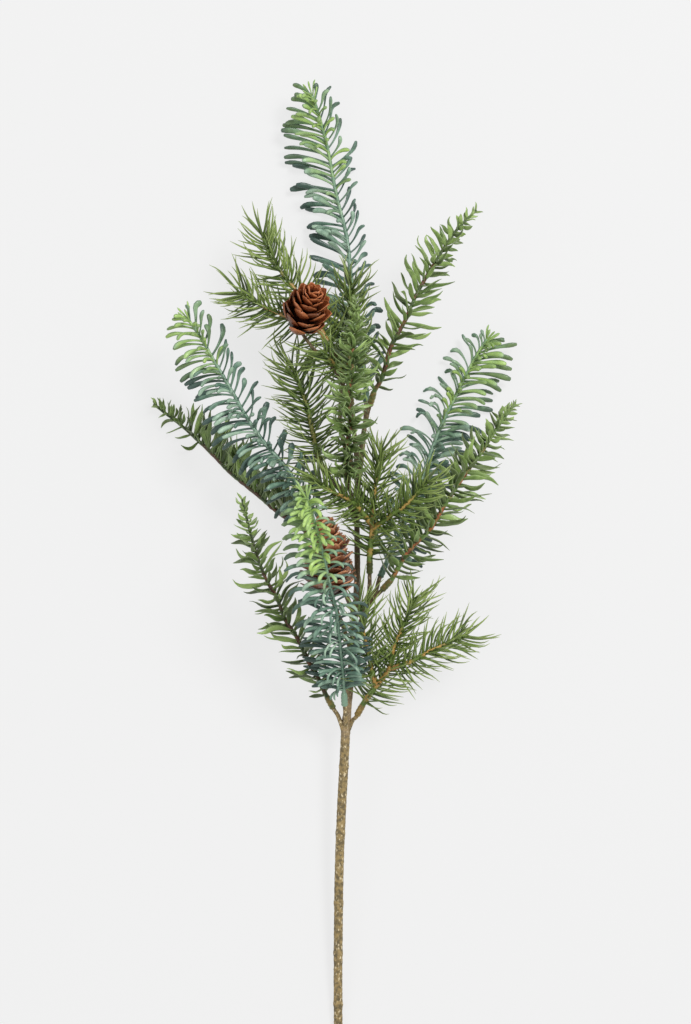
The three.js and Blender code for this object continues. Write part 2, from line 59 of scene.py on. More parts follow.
# Each wire leaves the stem and ends in the collar or the base of the piece that it carries.
WIRES = {
    "spruce_spray_lower_left": [(4, 206, 23.3), (-0.5, 218, 27)],
    "fir_spray_front": [(5, 208, 23.8), (4.5, 219, 31)],
    "pine_spray_lower_right": [(5.2, 206, 23.3), (9, 214.5, 26)],
    "pine_spray_centre": [(8.5, 255, 28.2), (13, 272.5, 34), (17.5, 285.5, 39), (19, 297, 45)],
    "fir_spray_right": [(17.3, 284.5, 38.8), (23, 293.5, 35)],
    "spruce_spray_right": [(17.3, 284.5, 38.8), (22.5, 290, 43.5)],
    "spruce_spray_left": [(9.8, 279, 30.2), (-2, 305.5, 26)],
    "fir_spray_left": [(11.3, 300, 31.8), (2.5, 319, 40)],
    "pine_spray_left": [(11.5, 334, 33.8), (2.5, 353, 38)],
    "spruce_spray_centre": [(11.5, 340, 33.8), (8, 351.5, 48)],
    "spruce_spray_upper_right": [(12.4, 359, 35.8), (13.5, 377.5, 42), (15.5, 390, 47)],
    "fir_spray_top": [(12.4, 359, 35.8), (15.5, 384.5, 33)],
    "pine_spray_upper_centre": [(12.4, 359, 35.8), (10, 384, 43)],
    "pine_spray_upper_left": [(12.4, 359, 35.8), (1.5, 391, 43.5)],
    "round_cone": [(12.4, 359, 35.8), (9.5, 390, 48), (0, 422.5, 58), (-16, 440, 57)],
    "long_cone": [(8.5, 255, 28.2), (3, 272, 42)],
}
WIRE_ROOT_RADIUS = 1.55
WIRE_AHEAD = 1.5  # from here on a wire runs straight towards the mouth of its socket
WIRE_SEAT = 5.0  # its depth in the socket
COLLAR_LENGTH = 8.0
COLLAR_RADIUS = 1.98
TWIG_START = 10.0  # where the needles begin, from the collar's mouth

# The least height above the table, of all points and of the middle lines of needles, twigs and the stem
TABLE_GAP = 0.2
NEEDLE_LIFT = 0.5
TWIG_LIFT = 0.9
STEM_LIFT = 2.3

# Fir sprays: comb rows on both sides and short needles on the face. Values in threes run from a piece's base
# through its middle to its tip. Left and right are the rows. A row has its needles' lean, which is the angle
# from the twig at a needle's root and at its end, in degrees, their reach in millimetres, their size as a
# share of it, the pitch from one to the next in millimetres, and their breadth. The other values are:
# face, the side that the spray shows, and form, the outline of its needles in FIR_FORMS;
# collar, how far its collar has the twig's colours, and their tone, and twig_radii at its base and tip;
# lime, the shares of its length where lime begins and is full, lime_below, how much of it the lower needles
# have, and lime_side, the row that has it in full;
# edge_on, the row whose needles are seen edge-on, or 0, and pale_edge, how much paler they are;
# painted_base_shade, how much darker the first needles are, a painted shade, and droop, how far all needles
# bend, in degrees;
# on_face, the pitch of the needles on the face.
UPPER_TURN = 64  # degrees from the face to a row's upper needles
LOWER_TURN = 98
FACE_REACH = 0.48  # the reach of the needles on the face, as a share of the left row's
FIR = {
    "fir_spray_front": dict(
        seed=4, face=(0, -0.3, 1), form="strip", collar=(0.8, 1.0), twig_radii=(1.1, 0.8),
        lime=(0.52, 0.8), lime_below=0.4, lime_side=-1, edge_on=0, pale_edge=0, painted_base_shade=0.28, droop=34,
        left=dict(lean=(56, 84), reach=28, size=(0.78, 1.0, 0.68), pitch=(0.9, 3.4, 1.6),
                  breadth=(1.05, 1.0, 1.15)),
        right=dict(lean=(52, 132), reach=24, size=(0.85, 0.85, 0.5), pitch=(0.9, 3.6, 6.5),
                   breadth=(1.05, 0.72, 0.7)),
        on_face=(2.4, 2.9, 1.0),
        line=[(4, 224, 34), (3.5, 233.5, 40), (2.5, 249.5, 51), (0.5, 269, 67), (-1, 283, 79),
              (-4.5, 297, 89), (-8, 313.5, 99), (-12, 330, 110), (-16, 343.5, 119), (-18, 350, 122)]),
    "fir_spray_top": dict(
        seed=1, face=(0.15, 0, 1), form="club", collar=(0.6, 0.4), twig_radii=(1.5, 0.9),
        lime=(0.5, 0.95), lime_below=0.3, lime_side=-1, edge_on=1, pale_edge=0.15, painted_base_shade=0.2, droop=0,
        left=dict(lean=(54, 72), reach=28, size=(0.85, 1.0, 0.95), pitch=(4.0, 3.2, 1.8),
                  breadth=(1.35, 1.1, 0.95)),
        right=dict(lean=(60, 28), reach=23, size=(0.75, 0.8, 1.05), pitch=(4.4, 4.4, 5.6),
                   breadth=(1.1, 0.95, 0.85)),
        on_face=(8.0, 8.0, 2.4),
        line=[(17, 407.5, 29), (17, 416, 26.5), (14, 439, 19), (9, 470, 11), (5.5, 508, 6), (-1, 535, 5.5),
              (-7, 566, 9), (-10, 577, 12), (-13, 587, 16), (-16, 594.5, 20)]),
    "fir_spray_left": dict(
        seed=2, face=(0, 0, 1), form="club", collar=(0.6, 0.4), twig_radii=(1.5, 0.9),
        lime=(0.62, 0.92), lime_below=0.8, lime_side=-1, edge_on=1, pale_edge=0.2, painted_base_shade=0.3, droop=0,
        left=dict(lean=(54, 92), reach=26, size=(0.85, 1.0, 0.8), pitch=(2.2, 2.7, 2.6),
                  breadth=(0.86, 0.86, 0.85)),
        right=dict(lean=(64, 40), reach=21, size=(0.8, 0.9, 1.0), pitch=(3.4, 4.6, 4.6),
                   breadth=(1.2, 1.2, 1.1)),
        on_face=(1.4, 2.4, 3.4),
        line=[(-7, 333.5, 45), (-12.5, 339.5, 46.5), (-23, 354, 49), (-30.5, 366.5, 50.5), (-45.5, 384, 52),
              (-55, 398, 53), (-64, 414, 54), (-74, 431, 54), (-83, 446.5, 54.5), (-90.5, 457.5, 56)]),
    "fir_spray_right": dict(
        seed=3, face=(0, 0, 1), form="club", collar=(0.9, 0.0), twig_radii=(1.5, 0.9),
        lime=(0.5, 0.84), lime_below=0.35, lime_side=1, edge_on=-1, pale_edge=0.6, painted_base_shade=0.35, droop=0,
        left=dict(lean=(38, 84), reach=24, size=(0.85, 1.0, 0.7), pitch=(3.6, 3.4, 3.2),
                  breadth=(0.9, 0.86, 0.85)),
        right=dict(lean=(50, 80), reach=26, size=(0.8, 0.92, 1.0), pitch=(3.0, 2.4, 2.4),
                   breadth=(1.0, 1.05, 1.0)),
        on_face=(5.0, 3.6, 2.2),
        line=[(25.5, 301.5, 32), (29.5, 310.5, 28), (36.5, 325, 21.5), (45, 345, 13.5), (53, 366.5, 7.5),
              (62, 391, 4.5), (71.5, 411, 4.5), (79.5, 427, 7), (85.5, 438, 9.5), (91, 446.5, 13)]),
}

# Spruce sprays: broad pointed needles, at turns from the face that repeat along the twig. Loose is how far
# they stray from that, and a spray looser than TOUSLED takes its turns in any order and hides its collar.
# Hook is how far their ends bend either way, in degrees. Tone and twig_tone go from dark at 0 to light at 1.
# One_sided is a share of the twig and an angle: up to there all needles stand on one side, turned at least
# that far.
TOUSLED = 2
TOUSLED_START = 4.0
BOTH_SIDES = (-88, 74, -50, 104, -112, 40, -70, 92, -20, 20)
SPRUCE = {
    "spruce_spray_centre": dict(
        seed=15, face=(0, -0.2, 1), turns=(-80, 60, -30, 95, -14, -100, 25, 4, -55, 80, 12),
        reach=15.5, pitch=0.46, loose=2.6, breadth=(1.05, 0.86, 0.72), hook=120, tone=0.68, twig_tone=0.45,
        line=[(5.5, 358.5, 59), (5, 366.5, 65), (5.5, 380.5, 69), (7, 391, 70.5), (6.5, 404, 71),
              (8, 419, 71), (9, 439.5, 70), (10, 456, 68), (10.5, 469, 66)]),
    "spruce_spray_upper_right": dict(
        seed=11, face=(0, 0, 1), turns=BOTH_SIDES, reach=18, pitch=1.35,
        loose=1.3, breadth=(1.15, 1.1, 0.95), hook=46, tone=0.64, twig_tone=0.3,
        line=[(19, 404.5, 51), (21.5, 412.5, 53), (26, 420.5, 54), (31.5, 439, 56), (40, 455, 56),
              (48, 473, 55), (58, 490, 53), (70, 508.5, 51), (77, 516, 50), (83, 522, 49)]),
    "spruce_spray_right": dict(
        seed=12, face=(0, 0, 1), turns=(-88, 74, -50, -104, 104, -30, -112, 60, -70, 92, -15, -95),
        reach=18, pitch=0.9, loose=1.3, breadth=(1.25, 1.15, 0.95), hook=46, tone=0.5, twig_tone=0.55,
        line=[(26.5, 294, 46), (32, 300, 49), (39, 312.5, 52), (46.5, 322, 53), (54.5, 329.5, 54),
              (64, 345, 54), (76, 363, 53), (86.5, 377, 51), (96, 392, 49), (101.5, 399.5, 48),
              (106.5, 406, 47)]),
    "spruce_spray_left": dict(
        seed=13, face=(0, 0, 1), turns=(86, 58, 98, 34, 74, 92, 12, -70), reach=22, pitch=0.95,
        loose=1.6, breadth=(1.3, 1.1, 0.8), hook=30, tone=0.36, twig_tone=0.0, one_sided=(0.7, 48),
        line=[(-13.5, 324, 22), (-21, 330, 19), (-29.5, 336, 13), (-38, 341.5, 8), (-48.5, 350.5, 4),
              (-58.5, 358.5, 1.4), (-67.5, 366, 0.9), (-77.5, 376.5, 0.9), (-87, 385.5, 0.9),
              (-96.5, 394, 2), (-107.5, 402.5, 5), (-113, 407, 7)]),
    "spruce_spray_lower_left": dict(
        seed=14, face=(0, 0, 1), turns=BOTH_SIDES, reach=18, pitch=1.2,
        loose=1.1, breadth=(1.15, 1.1, 1.0), hook=40, tone=0.54, twig_tone=0.1,
        line=[(-3, 222, 29), (-7.5, 230.5, 33), (-12, 240.5, 37), (-18.5, 252, 41), (-24.5, 265, 44),
              (-31.5, 275.5, 45.5), (-36.5, 288.5, 46.5), (-43.5, 301, 47), (-48.5, 314, 47),
              (-52.5, 327.5, 47), (-55.5, 339.5, 48), (-57.5, 348.5, 49)]),
}

# Pine sprays: thin needles all round each of their lines, of which the first is the twig in the collar and
# the others branch from it. Twig_bark is how far the twig has its own colours instead of the needles'.
PINE = {
    "pine_spray_centre": dict(
        seed=23, twig_bark=0.8, pitch=0.44, lean=(54, 34), reach=22, collar=(0.1, 0.0), tone=0.58,
        lines=[[(19, 304, 48), (19, 314, 51), (20.5, 330, 54), (21.5, 348, 57), (23.5, 364, 59),
                (26, 378, 60)],
               [(20, 333, 54.5), (12.5, 343, 60), (5, 349, 65), (-3, 352.5, 68), (-10, 357.5, 70),
                (-15.5, 361.5, 71)],
               [(20.5, 330.5, 54), (32, 339, 61), (40, 344.5, 65), (47, 352, 67), (54, 359.5, 68)]]),
    "pine_spray_lower_right": dict(
        seed=24, twig_bark=1.0, pitch=0.52, lean=(54, 30), reach=23, collar=(0.6, 0.3), tone=0.64,
        lines=[[(11.5, 217.5, 27.5), (15.5, 225, 31), (23.5, 236.5, 36), (29.5, 243.5, 38.5), (32, 251, 40),
                (33.5, 258.5, 42), (36.5, 266, 44), (39.5, 273.5, 45), (43, 281.5, 46), (46, 289, 46)],
               [(30.5, 246, 39.2), (38, 248.5, 41), (45.5, 251.5, 43), (53.5, 256, 44), (61.5, 260, 44),
                (70, 263.5, 43), (77.5, 266.5, 42)],
               [(23, 235.5, 35.7), (20, 246.5, 40), (17.5, 258, 44), (15.5, 267.5, 46), (14, 277, 47),
                (12.5, 286.5, 48)]]),
    "pine_spray_left": dict(
        seed=22, twig_bark=0.3, pitch=0.43, lean=(56, 34), reach=26.5, collar=(0.3, 0.2), tone=0.44,
        lines=[[(-5.5, 362.5, 41), (-10.5, 369.5, 43), (-15.5, 390, 45), (-19, 406, 46), (-24, 419, 46),
                (-28, 430, 46.5)]]),
    "pine_spray_upper_left": dict(
        seed=26, twig_bark=0.9, pitch=0.54, lean=(56, 32), reach=25, collar=(0.5, 0.4), tone=0.55,
        lines=[[(2.5, 423, 50), (0, 431.5, 51), (-9.5, 448.5, 51), (-18, 463, 50), (-26.5, 475.5, 49),
                (-33, 483.5, 48.5), (-41, 496, 48), (-45.5, 508, 48)],
               [(-9.5, 448.5, 51), (-21.5, 453.5, 50), (-33, 459, 49), (-46.5, 465, 48), (-54, 469.5, 47),
                (-60, 473, 46)],
               [(1.8, 426, 50.4), (0.5, 426.5, 57), (-4, 431, 60.5), (-11, 437, 61)]]),
    "pine_spray_upper_centre": dict(
        seed=25, twig_bark=0.4, pitch=0.48, lean=(52, 32), reach=22, collar=(0.3, 0.2), tone=0.3,
        lines=[[(8, 405, 47), (7, 413, 48), (6.5, 438, 47), (7, 462, 46), (8.5, 478, 47)]]),
}

# Cones from base to tip. Core has the radii of a cone's core, length the scales' own and width half their
# breadth. Lean_root and lean_end are the angles between the cone's axis and a scale, at its root and at its
# free end, first for the cone's base and then for its tip. Cup is how hollow a scale is, point how pointed,
# plate its half thickness, and first the share of the cone's length where the scales start.
CONE_FILL = 0.56  # the share of a scale's length that needles stay out of
CONES = {
    "round_cone": dict(
        seed=31, slot="dark_cone", ends=((-23, 453, 60), (-15, 469, 81)), core=(7, 7, 2.5), scales=40,
        length=(22, 19.5, 8), width=(5.7, 5.4, 3.0), lean_root=(112, 34), lean_end=(14, 16), cup=0.42,
        first=-0.02, point=0.4, plate=0.3),
    "long_cone": dict(
        seed=32, slot="light_cone", ends=((-4.5, 293, 56), (-8.5, 334, 61)), core=(6, 8, 2.2), scales=84,
        length=(18.5, 18.5, 8), width=(5.6, 5.6, 3.0), lean_root=(92, 50), lean_end=(58, 30), cup=0.16,
        first=0.0, point=0.2, plate=0.34),
}


def smooth_step(value, low, high):
    share = np.clip((value - low) / (high - low), 0.0, 1.0)
    return share * share * (3 - 2 * share)


def mix(a, b, share):
    return a + (b - a) * share


def threefold(share, values):
    return float(np.interp(share, (0.0, 0.5, 1.0), values))


def unit(v):
    return v / np.linalg.norm(v, axis=-1, keepdims=True)


def spun(vector, axis, angle):
    """The vector turned round the axis, by Rodrigues' rule."""
    turned = vector * math.cos(angle) + np.cross(axis, vector) * math.sin(angle)
    return turned + axis * np.dot(axis, vector) * (1 - math.cos(angle))


class Route:
    """A smooth line through points, a centripetal spline read by its length."""

    SPAN_STEPS = 14
    AXIS_REACH = 0.6

    def __init__(self, points):
        p = np.array(points, float)
        p = np.vstack([2 * p[0] - p[1], p, 2 * p[-1] - p[-2]])
        t = np.linspace(0, 1, self.SPAN_STEPS, endpoint=False)[:, None]
        spans = []
        for p0, p1, p2, p3 in zip(p, p[1:], p[2:], p[3:]):
            d0, d1, d2 = (math.sqrt(np.linalg.norm(b - a)) for a, b in ((p0, p1), (p1, p2), (p2, p3)))
            m1 = ((p1 - p0) / d0 - (p2 - p0) / (d0 + d1) + (p2 - p1) / d1) * d1
            m2 = ((p2 - p1) / d1 - (p3 - p1) / (d1 + d2) + (p3 - p2) / d2) * d1
            square = -3 * p1 + 3 * p2 - 2 * m1 - m2
            cube = 2 * p1 - 2 * p2 + m1 + m2
            spans.append(p1 + m1 * t + square * t**2 + cube * t**3)
        self.line = np.vstack([*spans, p[-2:-1]])
        steps = np.linalg.norm(np.diff(self.line, axis=0), axis=1)
        self.passed = np.concatenate([[0.0], np.cumsum(steps)])
        self.length = float(self.passed[-1])

    def point(self, distance):
        return np.stack([np.interp(distance, self.passed, self.line[:, k]) for k in range(3)], axis=-1)

    def axis(self, distance):
        ahead = self.point(np.minimum(distance + self.AXIS_REACH, self.length))
        behind = self.point(np.maximum(distance - self.AXIS_REACH, 0.0))
        return unit(ahead - behind)

    def sampled(self, step, start=0.0):
        count = max(3, int(round((self.length - start) / step)) + 1)
        distances = np.linspace(start, self.length, count)
        return distances, self.point(distances)


# What the materials read at each point. Lime is how pale the new growth is there, chance the own tone of
# a needle, a scale or a twig, share the distance from its root, rim the nearness to its edge, where needles
# get their painted edge colour, bark how far it is bark, and under the nearness to its lower side, where
# needles get a painted shade. On the stem, lime is the paler bark of the fork.
VALUES = ("lime", "chance", "share", "rim", "bark", "under")


class Pile:
    """The closed shells of one piece, with the values at each point that its material reads."""

    def __init__(self):
        self.points = []
        self.corners = []
        self.sizes = []
        self.values = []
        self.count = 0

    def add(self, points, quads, triangles, values):
        for faces, size in ((quads, 4), (triangles, 3)):
            faces = np.asarray(faces, int).reshape(-1, size)
            if len(faces):
                self.corners.append((faces + self.count).ravel())
                self.sizes.append(np.full(len(faces), size))
        self.points.append(points)
        columns = [np.broadcast_to(values.get(name, 0.0), len(points)) for name in VALUES]
        self.values.append(np.stack(columns, axis=1))
        self.count += len(points)

    def sweep(self, line, wide, thick, up, sides, values, twist=0.0, cap=0.3, crease=0.0, rough=None):
        """A closed limb along a line: flat rings of the given half width and half thickness."""
        n = len(line)
        ahead = unit(np.gradient(line, axis=0))
        across = unit(np.cross(ahead, up))
        face = np.cross(across, ahead)
        turn = np.broadcast_to(twist, n)[:, None]
        cos, sin = np.cos(turn), np.sin(turn)
        across, face = across * cos + face * sin, face * cos - across * sin
        angle = np.arange(sides) * 2 * math.pi / sides
        x, z = np.cos(angle), np.sin(angle)
        z_shape = z * (1 - crease * np.exp(-((x / 0.35) ** 2)) * (z > 0))
        wide = np.broadcast_to(wide, n)[:, None]
        thick = np.broadcast_to(thick, n)[:, None]
        size = 1.0 if rough is None else rough
        rings = line[:, None] + across[:, None] * (x * wide * size)[..., None]
        rings = rings + face[:, None] * (z_shape * thick * size)[..., None]
        ends = np.array([line[0], line[-1] + ahead[-1] * cap])
        points = np.vstack([rings.reshape(-1, 3), ends])
        ring = np.arange(sides)
        after = (ring + 1) % sides
        row = (np.arange(n - 1) * sides)[:, None]
        quads = np.stack([row + ring, row + after, row + sides + after, row + sides + ring], axis=-1)
        last = (n - 1) * sides
        root = np.stack([after, ring, np.full(sides, n * sides)], axis=-1)
        tip = np.stack([last + ring, last + after, np.full(sides, n * sides + 1)], axis=-1)
        share = np.linspace(0, 1, n)

        def spread(value):
            value = np.broadcast_to(value, n)
            return np.concatenate([np.repeat(value, sides), [value[0], value[-1]]])

        kept = {k: spread(v) for k, v in {"share": share, **values}.items()}
        kept["rim"] = np.concatenate([np.tile(np.abs(x) ** 4, n), [0, 1]])
        kept["under"] = np.concatenate([np.tile(np.clip(-z, 0, 1), n), [0, 0]])
        self.add(points, quads[:, :, ::-1], np.vstack([root, tip])[:, ::-1], kept)

    def mesh(self, name):
        points = (np.vstack(self.points) + SHIFT) * MM
        points[:, 2] = np.maximum(points[:, 2], TABLE_GAP * MM)
        corners = np.concatenate(self.corners)
        sizes = np.concatenate(self.sizes)
        starts = np.concatenate([[0], np.cumsum(sizes)[:-1]])
        mesh = bpy.data.meshes.new(name)
        mesh.vertices.add(len(points))
        mesh.vertices.foreach_set("co", points.ravel())
        mesh.loops.add(len(corners))
        mesh.loops.foreach_set("vertex_index", corners.astype(np.int32))
        mesh.polygons.add(len(sizes))
        mesh.polygons.foreach_set("loop_start", starts.astype(np.int32))
        mesh.polygons.foreach_set("loop_total", sizes.astype(np.int32))
        mesh.polygons.foreach_set("use_smooth", np.ones(len(sizes), bool))
        mesh.update(calc_edges=True)
        values = np.vstack(self.values)
        for k, value in enumerate(VALUES):
            attribute = mesh.attributes.new(value, "FLOAT", "POINT")
            attribute.data.foreach_set("value", values[:, k].astype(np.float32))
        return mesh


def place_piece(pile, node, material):
    """Makes the piece that stands for a CAD node, and lets it ride on the one body."""
    piece = bpy.data.objects.new(node + "_fine", pile.mesh(node + "_fine"))
    bpy.context.scene.collection.objects.link(piece)
    piece.data.materials.append(material)
    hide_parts(node)
    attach(piece, "root")


def design_shift():
    """From the millimetre values above to the model's frame, read off the stem's cut end."""
    points = np.array([v.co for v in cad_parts["main_stem"].data.vertices]) / MM
    end = points[points[:, 1] < points[:, 1].min() + 0.01]
    return np.array([end[:, 0].mean() - STEM_LINE[0][0], end[0, 1] - STEM_LINE[0][1], 0.0])


SHIFT = design_shift()


# Materials


class Shader:
    """A node material under construction."""

    def __init__(self, name):
        self.material = bpy.data.materials.new(name)
        self.material.use_nodes = True
        self.tree = self.material.node_tree
        self.principled = self.tree.nodes["Principled BSDF"]

    def feed(self, node, socket, value):
        target = node.inputs[socket]
        if isinstance(value, bpy.types.NodeSocket):
            self.tree.links.new(value, target)
        else:
            target.default_value = (*value, 1.0) if isinstance(value, tuple) and len(value) == 3 else value

    def value(self, name):
        node = self.tree.nodes.new("ShaderNodeAttribute")
        node.attribute_name = name
        return node.outputs["Fac"]

    def maths(self, operation, *values):
        node = self.tree.nodes.new("ShaderNodeMath")
        node.operation = operation
        for i, value in enumerate(values):
            self.feed(node, i, value)
        return node.outputs[0]

    def between(self, value, low, high, to_low=0.0, to_high=1.0):
        node = self.tree.nodes.new("ShaderNodeMapRange")
        node.interpolation_type = "SMOOTHSTEP"
        for socket, given in zip(
            ("Value", "From Min", "From Max", "To Min", "To Max"), (value, low, high, to_low, to_high)
        ):
            self.feed(node, socket, given)
        return node.outputs[0]

    def blend(self, factor, a, b):
        """A mix of two colours. The mix node takes them at sockets 6 and 7 and gives it at output 2."""
        node = self.tree.nodes.new("ShaderNodeMix")
        node.data_type = "RGBA"
        self.feed(node, 0, factor)
        self.feed(node, 6, a)
        self.feed(node, 7, b)
        return node.outputs[2]

    def noise(self, scale, detail, stretch=None):
        node = self.tree.nodes.new("ShaderNodeTexNoise")
        self.feed(node, "Scale", scale)
        self.feed(node, "Detail", detail)
        place = self.tree.nodes.new("ShaderNodeTexCoord").outputs["Object"]
        if stretch:
            mapping = self.tree.nodes.new("ShaderNodeMapping")
            self.feed(mapping, "Vector", place)
            mapping.inputs["Scale"].default_value = stretch
            place = mapping.outputs[0]
        self.feed(node, "Vector", place)
        return node.outputs["Fac"]

    def bump(self, height, strength, distance):
        node = self.tree.nodes.new("ShaderNodeBump")
        self.feed(node, "Strength", strength)
        self.feed(node, "Distance", distance)
        self.feed(node, "Height", height)
        self.feed(self.principled, "Normal", node.outputs[0])

    def finish(self, colour, roughness):
        self.feed(self.principled, "Base Color", colour)
        self.feed(self.principled, "Roughness", roughness)
        return self.material


def bark_colour(shader, dark, mid, pale):
    """Mottled bark with pale flecks"""
    patches = shader.between(shader.noise(420, 4), 0.35, 0.65)
    flecks = shader.between(shader.noise(900, 2, (1, 0.45, 1)), 0.58, 0.68)
    return shader.blend(flecks, shader.blend(patches, dark, mid), pale)


def needle_material(name, dark, mid, light, lime, twig_dark, twig_light, rim, root_shade, tip=None):
    shader = Shader(name)
    chance = shader.value("chance")
    blotches = shader.noise(260, 2)
    tone = shader.maths("ADD", chance, shader.maths("MULTIPLY", shader.maths("SUBTRACT", blotches, 0.5), 0.7))
    colour = shader.blend(shader.between(tone, 0.15, 0.6), dark, mid)
    colour = shader.blend(shader.between(tone, 0.5, 1.0), colour, light)
    if tip:
        colour = shader.blend(shader.between(shader.value("share"), 0.45, 1.0, 0.0, 0.75), colour, tip)
    lime_share = shader.maths("MULTIPLY", shader.value("lime"), shader.between(blotches, 0.2, 0.6, 0.7, 1.0))
    colour = shader.blend(lime_share, colour, lime)
    # Needle edges take the rim colour, painted light: a painted shade round fir needles, a painted highlight
    # on spruce and pine needles.
    colour = shader.blend(shader.maths("MULTIPLY", shader.value("rim"), 0.65), colour, rim)
    # Needles darken towards their lower side, a painted shade.
    colour = shader.blend(shader.maths("MULTIPLY", shader.value("under"), 0.4), colour, dark)
    colour = shader.blend(shader.between(shader.value("share"), 0.0, 0.4, root_shade, 0.0), colour, dark)
    grain = shader.noise(1500, 3)
    twig_tone = shader.maths("ADD", shader.noise(330, 3), shader.maths("MULTIPLY", chance, 0.5))
    twig = shader.blend(shader.between(twig_tone, 0.55, 0.9), twig_dark, twig_light)
    colour = shader.blend(shader.value("bark"), colour, twig)
    shader.bump(grain, 0.25, 0.0003)
    return shader.finish(colour, shader.between(grain, 0.3, 0.7, 0.3, 0.48))


def make_materials():
    made = {}
    # Each rim colour is painted on the needles' edges: a dark painted shade for the fir, a pale painted
    # highlight for the spruce and the pine.
    made["fir"] = needle_material(
        "fir_needles", (0.058, 0.100, 0.084), (0.155, 0.275, 0.200), (0.420, 0.580, 0.430),
        (0.450, 0.650, 0.170), (0.085, 0.165, 0.115), (0.180, 0.310, 0.215), rim=(0.070, 0.125, 0.100),
        root_shade=0.3)
    made["spruce"] = needle_material(
        "spruce_needles", (0.026, 0.050, 0.010), (0.105, 0.190, 0.034), (0.300, 0.440, 0.120),
        (0.430, 0.560, 0.200), (0.085, 0.040, 0.020), (0.400, 0.130, 0.042), rim=(0.400, 0.510, 0.240),
        root_shade=0.4)
    made["pine"] = needle_material(
        "pine_needles", (0.026, 0.050, 0.008), (0.125, 0.200, 0.034), (0.300, 0.400, 0.105),
        (0.420, 0.520, 0.170), (0.300, 0.160, 0.045), (0.600, 0.360, 0.100), rim=(0.160, 0.240, 0.055),
        root_shade=0.35, tip=(0.370, 0.460, 0.150))
    bark = Shader("stem_bark")
    flaking = bark.noise(700, 5, (1, 0.5, 1))
    bark.bump(flaking, 0.7, 0.0008)
    colour = bark_colour(bark, (0.150, 0.115, 0.055), (0.370, 0.265, 0.110), (0.720, 0.600, 0.380))
    colour = bark.blend(bark.value("lime"), colour, (0.330, 0.240, 0.155))
    colour = bark.blend(bark.value("bark"), colour, (0.060, 0.044, 0.022))
    made["bark"] = bark.finish(colour, bark.between(flaking, 0.3, 0.7, 0.6, 0.85))
    for name, dark, mid, light in (
        ("dark_cone", (0.030, 0.008, 0.003), (0.235, 0.055, 0.017), (0.640, 0.220, 0.080)),
        ("light_cone", (0.036, 0.012, 0.006), (0.340, 0.112, 0.045), (0.800, 0.400, 0.210)),
    ):
        shader = Shader(name)
        streaks = shader.noise(900, 4)
        chance = shader.value("chance")
        share = shader.maths("ADD", shader.value("share"), shader.maths("MULTIPLY", streaks, 0.3))
        # Scales darken towards their roots, a painted shade where they lie deep between the other scales.
        colour = shader.blend(shader.between(share, 0.55, 0.95), dark, mid)
        # The scales' free edges take the light colour, a painted highlight, stronger on some scales and
        # towards the cone's tip.
        highlight_strength = shader.between(chance, 0.0, 1.0, 0.35, 1.0)
        edge = shader.maths("MULTIPLY", shader.between(share, 0.92, 1.22), highlight_strength)
        colour = shader.blend(edge, colour, light)
        colour = shader.blend(shader.between(chance, 0.05, 0.75, 0.6, 0.0), colour, dark)
        shader.bump(streaks, 0.8, 0.0006)
        made[name] = shader.finish(colour, shader.between(streaks, 0.3, 0.7, 0.22, 0.42))
    return made


# Pieces


def lifted(line, clearance):
    """The middle line of a limb, kept clear of the table"""
    line[:, 2] = np.maximum(line[:, 2], clearance)
    return line


def in_cone(point):
    """Whether a point lies so deep in a cone that a needle there would stand between its scales"""
    for cone in CONES.values():
        base, tip = (np.array(end, float) for end in cone["ends"])
        axis = tip - base
        share = np.clip(np.dot(point - base, axis) / np.dot(axis, axis), -0.05, 1.0)
        radius = threefold(np.clip(share, 0, 1), cone["length"]) * CONE_FILL
        if np.linalg.norm(point - (base + axis * share)) < radius:
            return True
    return False


def needle(pile, place, turn, lean, length, form, values, hook=0.0, wave=0.0, sway=0.0, twist=0.0, roll=0.0,
           breadth=1.0, flat_up=False):
    """One needle from a place on its twig: turned round it, leaning from the first angle to the second.

    Hook bends its end further and wave gives it an S, both in degrees. Sway bends it round the twig. Roll
    turns its flat side, which looks along the spray's face or, with flat_up, straight up.
    """
    point, axis, side, face = place
    outward = face * math.cos(turn) + side * math.sin(turn)
    around = np.cross(axis, outward)
    rows = len(form["wide"]) - 1
    share = (np.arange(rows) + 0.5) / rows
    degrees = mix(lean[0], lean[1], share) + hook * smooth_step(share, 0.6, 1)
    degrees = degrees + wave * np.sin(share * 2 * math.pi)
    angle = np.radians(degrees)[:, None]
    step = axis * np.cos(angle) + outward * np.sin(angle) + around * (sway * share)[:, None]
    line = np.vstack([point, point + np.cumsum(unit(step) * length / rows, axis=0)])
    if in_cone(line[-1]) or in_cone(line[rows // 2]):
        return
    lifted(line, NEEDLE_LIFT)
    turns = np.linspace(0, twist, rows + 1)
    flat = spun(UP if flat_up else face - axis * 0.6, axis, roll)
    pile.sweep(line, form["wide"] * breadth, form["thick"], flat, form["sides"], values, turns, form["cap"],
               form["crease"])


